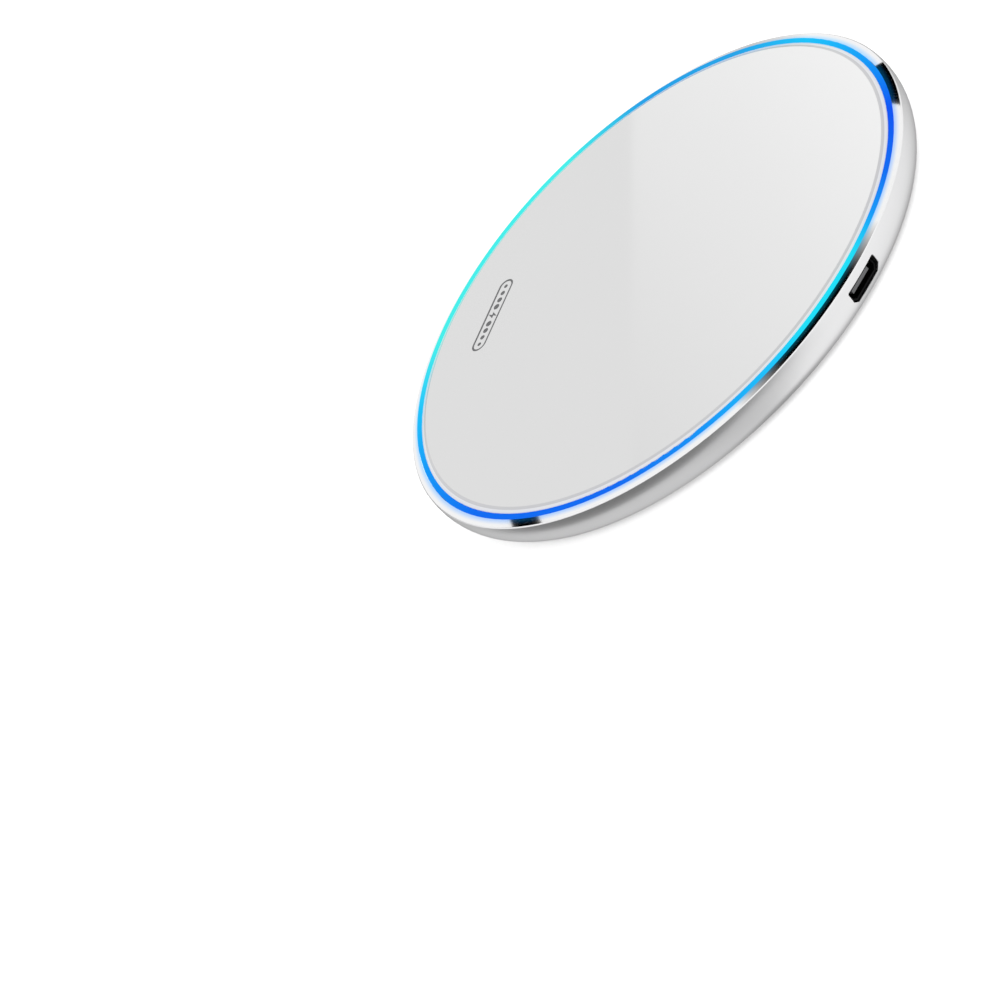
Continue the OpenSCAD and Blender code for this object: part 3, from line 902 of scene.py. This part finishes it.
@dataclass
class DriverBoard:
    """The circuit board and what is soldered on it."""

    board: SolderMask = SolderMask()
    epoxy: Moulded = Moulded((0.016, 0.016, 0.018), 0.5, 5000.0, 0.006 * MM, 0.2, 0.4)
    ceramic: Moulded = Moulded((0.42, 0.27, 0.13), 0.38, 2600.0, 0.004 * MM, 0.2)
    small: Moulded = Moulded((0.20, 0.13, 0.07), 0.35, 3200.0, 0.004 * MM, 0.35)
    powder: Moulded = Moulded((0.085, 0.085, 0.09), 0.6, 3000.0, 0.015 * MM, 0.25, 0.3)
    can: Plated = Plated((0.74, 0.73, 0.70), 0.22)

    def dress(self) -> None:
        """Gives each piece its finish."""
        dress("circuit_board", self.board.build("solder_mask"))
        epoxy = self.epoxy.build("package_epoxy")
        ceramic = self.ceramic.build("capacitor_ceramic")
        for node, finish in (("controller_chip", epoxy), ("power_transistors", epoxy),
                             ("resonant_capacitors", ceramic), ("input_capacitors", ceramic)):
            dress(node, finish)
        dress("power_inductor", self.powder.build("inductor_powder"))
        dress("crystal", self.can.build("crystal_can"))
        dress("small_components", self.small.build("chip_components"))


@dataclass
class PowerSocket:
    """The socket in the side of the body."""

    # Painted shade: the shell is coloured near black so that the socket's opening reads as shade.
    shell: Plated = Plated((0.016, 0.016, 0.017), 0.5, 2500.0, 0.3)
    tongue: Moulded = Moulded((0.13, 0.13, 0.135), 0.45, 3500.0, 0.004 * MM)
    contact: Plated = Plated((0.98, 0.74, 0.33), 0.2)

    def dress(self) -> None:
        """Gives each piece its finish."""
        dress("port_shell", self.shell.build("shell_painted_shade"))
        dress("port_tongue", self.tongue.build("socket_insulator"))
        dress("port_contacts", self.contact.build("gold_plate"))


@dataclass
class Base:
    """The base cover with its screws and the anti-slip ring."""

    cover: Moulded = Moulded((0.74, 0.74, 0.73), 0.5, 3500.0, 0.015 * MM, 0.04)
    screw: Plated = Plated((0.60, 0.59, 0.57), 0.28)
    rubber: Moulded = Moulded((0.46, 0.46, 0.47), 0.75, 2600.0, 0.02 * MM, 0.06, 0.35)

    def dress(self) -> None:
        """Gives each piece its finish."""
        dress("base_cover", self.cover.build("base_plastic"))
        dress("base_screws", self.screw.build("screw_steel"))
        dress("antislip_ring", self.rubber.build("antislip_silicone"))


# ---------------------------------------------------------------- studio


@dataclass
class Viewpoint:
    """Where the camera stands and how it is held."""

    azimuth: float = -26.85
    elevation: float = 28.37
    roll: float = 45.77
    lens: float = 1000.0
    sensor: float = 36.0
    clip: tuple[float, float] = (0.01, 20.0)
    frame_width: float = 158.26 * MM
    subject: Point = (0.0, 0.0, 7.2 * MM)
    aside: float = 24.43 * MM
    above: float = 35.2 * MM

    def axes(self) -> tuple[Vector, Vector, Vector]:
        """Directions of the camera.

        Returns:
            Right, up and back.
        """
        a, e, r = (math.radians(v) for v in (self.azimuth, self.elevation, self.roll))
        back = Vector((math.sin(a) * math.cos(e), -math.cos(a) * math.cos(e), math.sin(e)))
        level = Vector((math.cos(a), math.sin(a), 0.0))
        upright = back.cross(level)
        right = level * math.cos(r) - upright * math.sin(r)
        return right, back.cross(right), back

    def eye(self) -> Vector:
        """Place of the camera."""
        right, up, back = self.axes()
        distance = self.frame_width * self.lens / self.sensor
        return Vector(self.subject) + back * distance - right * self.aside - up * self.above

    def build(self) -> None:
        """Makes the camera."""
        data = bpy.data.cameras.new("camera")
        data.lens, data.sensor_width = self.lens, self.sensor
        data.clip_start, data.clip_end = self.clip
        camera = bpy.data.objects.new("camera", data)
        right, up, back = self.axes()
        camera.matrix_world = Matrix.Translation(self.eye()) @ Matrix(
            (right, up, back)).transposed().to_4x4()
        bpy.context.scene.collection.objects.link(camera)
        bpy.context.scene.camera = camera

    def sight(self, across: float, down: float) -> Vector:
        """Direction from the eye through a place in the frame.

        Args:
            across: Share of the frame's width from its left edge.
            down: Share of the frame's height from its top edge.

        Returns:
            The direction, of length 1.
        """
        right, up, back = self.axes()
        ray = right * (across - 0.5) * self.sensor + up * (0.5 - down) * self.sensor - back * self.lens
        return ray.normalized()


@dataclass(frozen=True)
class Flag:
    """A dark card that a stretch of the chamfer mirrors, by degrees from the nearest point."""

    start: float
    end: float
    fade: float = 0.0
    half: float = 7.0 * MM
    start_slant: float = 0.0
    end_slant: float = 0.0


@dataclass
class Studio:
    """Plain pale floor, soft light all round, and the cards that the gloss reflects."""

    view: Viewpoint = field(default_factory=Viewpoint)
    floor_half: float = 3.0
    floor_drop: float = 0.05 * MM
    floor_light: float = 0.45
    floor_shades: tuple[float, float] = (0.93, 0.95)
    horizon_blend: tuple[float, float] = (-0.3, -0.08)
    softbox_light: tuple[float, ...] = (2.2, 3.8, 1.2, 0.15)
    softbox_across: tuple[float, float] = (0.632, 1.05)
    softbox_down: tuple[float, float] = (-0.1, 0.75)
    card_distance: float = 0.45
    chamfer_radius: float = 49.1 * MM
    chamfer_height: float = 6.9 * MM
    chamfer_slope: float = 0.28
    flags: tuple[Flag, ...] = (Flag(5.0, 26.0, 12.0, 14.0 * MM), Flag(71.5, 86.0, start_slant=-7.0),
                               Flag(-65.0, -57.2, start_slant=7.5, end_slant=7.5))
    flag_falloff: float = 1.5
    band_distance: float = 1.2
    band_low: float = -20.0
    band_high: float = 12.0
    band_foot: float = 0.28
    backdrop: tuple[tuple[float, float], ...] = (
        (-60.0, 0.66), (-20.0, 0.58), (0.0, 0.62), (22.0, 0.94), (60.0, 0.95), (110.0, 0.86),
        (130.0, 0.72), (150.0, 0.52), (168.0, 0.32), (180.0, 0.24), (192.0, 0.36), (210.0, 0.6),
        (290.0, 0.66))
    bands: tuple[tuple[tuple[float, float], ...], ...] = (
        ((-174.0, 1.0), (-167.0, 0.4), (-150.0, 0.2), (-130.0, 0.08), (-10.0, 0.08), (5.0, 0.4),
         (25.0, 1.0)),
        ((104.0, 1.0), (125.0, 0.6), (145.0, 0.2), (167.0, 0.3), (174.0, 1.0)))

    def heading(self, turn: float) -> Vector:
        """Level direction at an angle from the camera's side, towards the right."""
        angle = math.radians(self.view.azimuth - 90 + turn)
        return Vector((math.cos(angle), math.sin(angle), 0.0))

    def card(self, name: str, points: Sequence[Vector], faces: Sequence[Sequence[int]],
             shades: Sequence[float]) -> None:
        """Adds a card that only reflections show.

        Args:
            name: Name of the card.
            points: Its corners.
            faces: Its faces.
            shades: The brightness at each corner.
        """
        graph = Graph(name).set(Base_Color=(0.0, 0.0, 0.0), Specular_IOR_Level=0.0,
                                Emission_Color=(1.0, 1.0, 1.0))
        mesh = mesh_from(name, points, faces)
        mesh.attributes.new("shade", "FLOAT", "POINT").data.foreach_set("value", shades)
        shade = graph.node("Attribute", attribute_name="shade")
        graph.feed(shade.outputs["Fac"], graph.shader.inputs["Emission Strength"])
        piece = new_object(name, mesh, graph.material)
        piece.visible_camera = piece.visible_diffuse = piece.visible_shadow = False

    def floor(self) -> None:
        """Lays the floor, which shows only its upper side."""
        h, z = self.floor_half, -self.floor_drop
        corners = [(-h, -h, z), (h, -h, z), (h, h, z), (-h, h, z)]
        mesh = mesh_from("floor", corners, [(0, 1, 2, 3)])
        graph = Graph("pale_floor").set(Roughness=1.0, Specular_IOR_Level=0.0,
                                        Emission_Color=(1.0, 1.0, 1.0),
                                        Emission_Strength=self.floor_light)
        dull, pale = ((shade,) * 3 for shade in self.floor_shades)
        graph.paint(graph.blend(graph.noise(2.0), dull, pale))
        sides = graph.node("MixShader")
        graph.feed(graph.node("NewGeometry").outputs["Backfacing"], sides.inputs[0])
        graph.feed(graph.shader.outputs[0], sides.inputs[1])
        graph.feed(graph.node("BsdfTransparent").outputs[0], sides.inputs[2])
        graph.feed(sides.outputs[0], graph.tree.nodes["Material Output"].inputs["Surface"])
        floor = new_object("floor", mesh, graph.material)
        floor.visible_glossy = False

    def sky(self) -> None:
        """White above the horizon; below it a backdrop that is darkest behind the pad."""
        world = bpy.data.worlds.new("studio")
        bpy.context.scene.world = world
        world.use_nodes = True
        nodes = Nodes(world.node_tree, "Generated")
        height = nodes.axes()[2]
        turned = [((self.view.azimuth + 90 + turn) % 360 / 360, (shade,) * 3)
                  for turn, shade in self.backdrop]
        below = nodes.ramp(nodes.bearing(), turned)
        above = nodes.rise(height, *self.horizon_blend, smooth=True)
        colour = nodes.blend(above, below, (1.0, 1.0, 1.0))
        nodes.feed(colour, nodes.tree.nodes["Background"].inputs["Color"])

    def mirrored(self, across: float, down: float, distance: float) -> Vector:
        """Where a card's corner stands so that the glass shows it at a place in the frame.

        Args:
            across: Share of the frame's width.
            down: Share of the frame's height.
            distance: How far from the glass it stands.

        Returns:
            The corner.
        """
        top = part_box("cover_glass")[1].z
        eye, ray = self.view.eye(), self.view.sight(across, down)
        hit = eye + ray * ((top - eye.z) / ray.z)
        return hit + Vector((ray.x, ray.y, -ray.z)) * distance

    def softbox(self) -> None:
        """The bright card whose edge runs down the middle of the glass."""
        (left, right), (top, bottom) = self.softbox_across, self.softbox_down
        points = [self.mirrored(x, y, self.card_distance)
                  for x, y in ((left, top), (right, top), (right, bottom), (left, bottom))]
        self.card("softbox", points, [(0, 1, 2, 3)], self.softbox_light)

    def chamfer_ray(self, turn: float) -> tuple[Vector, Vector]:
        """Where the chamfer stands, and what it mirrors there.

        Args:
            turn: Degrees round the pad from its nearest point, towards the right.

        Returns:
            The place on the chamfer and the mirrored direction.
        """
        out = self.heading(turn)
        place = out * self.chamfer_radius + Vector((0.0, 0.0, self.chamfer_height))
        normal = (out * self.chamfer_slope + Vector((0.0, 0.0, 1.0))).normalized()
        look = (place - self.view.eye()).normalized()
        return place, look - 2 * look.dot(normal) * normal

    def chamfer_view(self, turn: float, outward: float) -> Vector:
        """The point that the chamfer mirrors at the cards' distance.

        Args:
            turn: Degrees round the pad from its nearest point, towards the right.
            outward: How far outside the chamfer's middle it is mirrored.

        Returns:
            The point.
        """
        place, ray = self.chamfer_ray(turn)
        return place + self.heading(turn) * outward + ray * self.card_distance

    def strip(self, name: str, edges: Sequence[tuple[Vector, Vector]],
              shades: Sequence[tuple[float, float]]) -> None:
        """Adds a card made of a row of quads.

        Args:
            name: Name of the card.
            edges: Pairs of corners, one pair after another.
            shades: The brightness at each corner of each pair.
        """
        points = [corner for pair in edges for corner in pair]
        faces = [(2 * i, 2 * i + 2, 2 * i + 3, 2 * i + 1) for i in range(len(edges) - 1)]
        self.card(name, points, faces, [shade for pair in shades for shade in pair])

    def black_flags(self, steps: int = 24) -> None:
        """Dark cards that the chamfer mirrors as short dark stretches.

        Args:
            steps: Quads in each card.
        """
        for number, flag in enumerate(self.flags):
            edges, shades = [], []
            first, last = flag.start - flag.fade, flag.end + flag.fade
            for i in range(steps + 1):
                turn = first + (last - first) * i / steps
                slant = flag.start_slant + (flag.end_slant - flag.start_slant) * i / steps
                edges.append(tuple(self.chamfer_view(turn + side * slant, side * flag.half)
                                   for side in (-1, 1)))
                outside = max(flag.start - turn, turn - flag.end, 0.0)
                shade = (outside / flag.fade) ** self.flag_falloff if flag.fade else 0.0
                shades.append((shade, shade))
            self.strip(f"flag_{number}", edges, shades)

    def horizon_bands(self) -> None:
        """Grey bands along the horizon that shade the wall just under the chamfer."""
        rows = (("low", self.band_low, 0.0), ("high", 0.0, self.band_high))
        for number, stops in enumerate(self.bands):
            for row, *limits in rows:
                heights = [math.tan(math.radians(a)) * self.band_distance for a in limits]
                edges = [tuple(self.heading(turn) * self.band_distance + Vector((0, 0, height))
                               for height in heights) for turn, _ in stops]
                shades = [(shade, 1.0) if row == "high" else (max(shade, self.band_foot), shade)
                          for _, shade in stops]
                self.strip(f"horizon_band_{number}_{row}", edges, shades)

    def build(self) -> None:
        """Sets up the whole studio."""
        bpy.context.scene.view_settings.view_transform = "Standard"
        self.view.build()
        self.floor()
        self.sky()
        self.softbox()
        self.black_flags()
        self.horizon_bands()


def main() -> None:
    """Builds and dresses every sub-assembly, then the studio."""
    logging.basicConfig(level=logging.INFO, format="%(message)s")
    Studio().build()
    body = Body()
    body.build()
    body.dress()
    for assembly in (LightRing(), CoilStack(), DriverBoard(), PowerSocket(), Base()):
        assembly.dress()


if __name__ == "__main__":
    main()
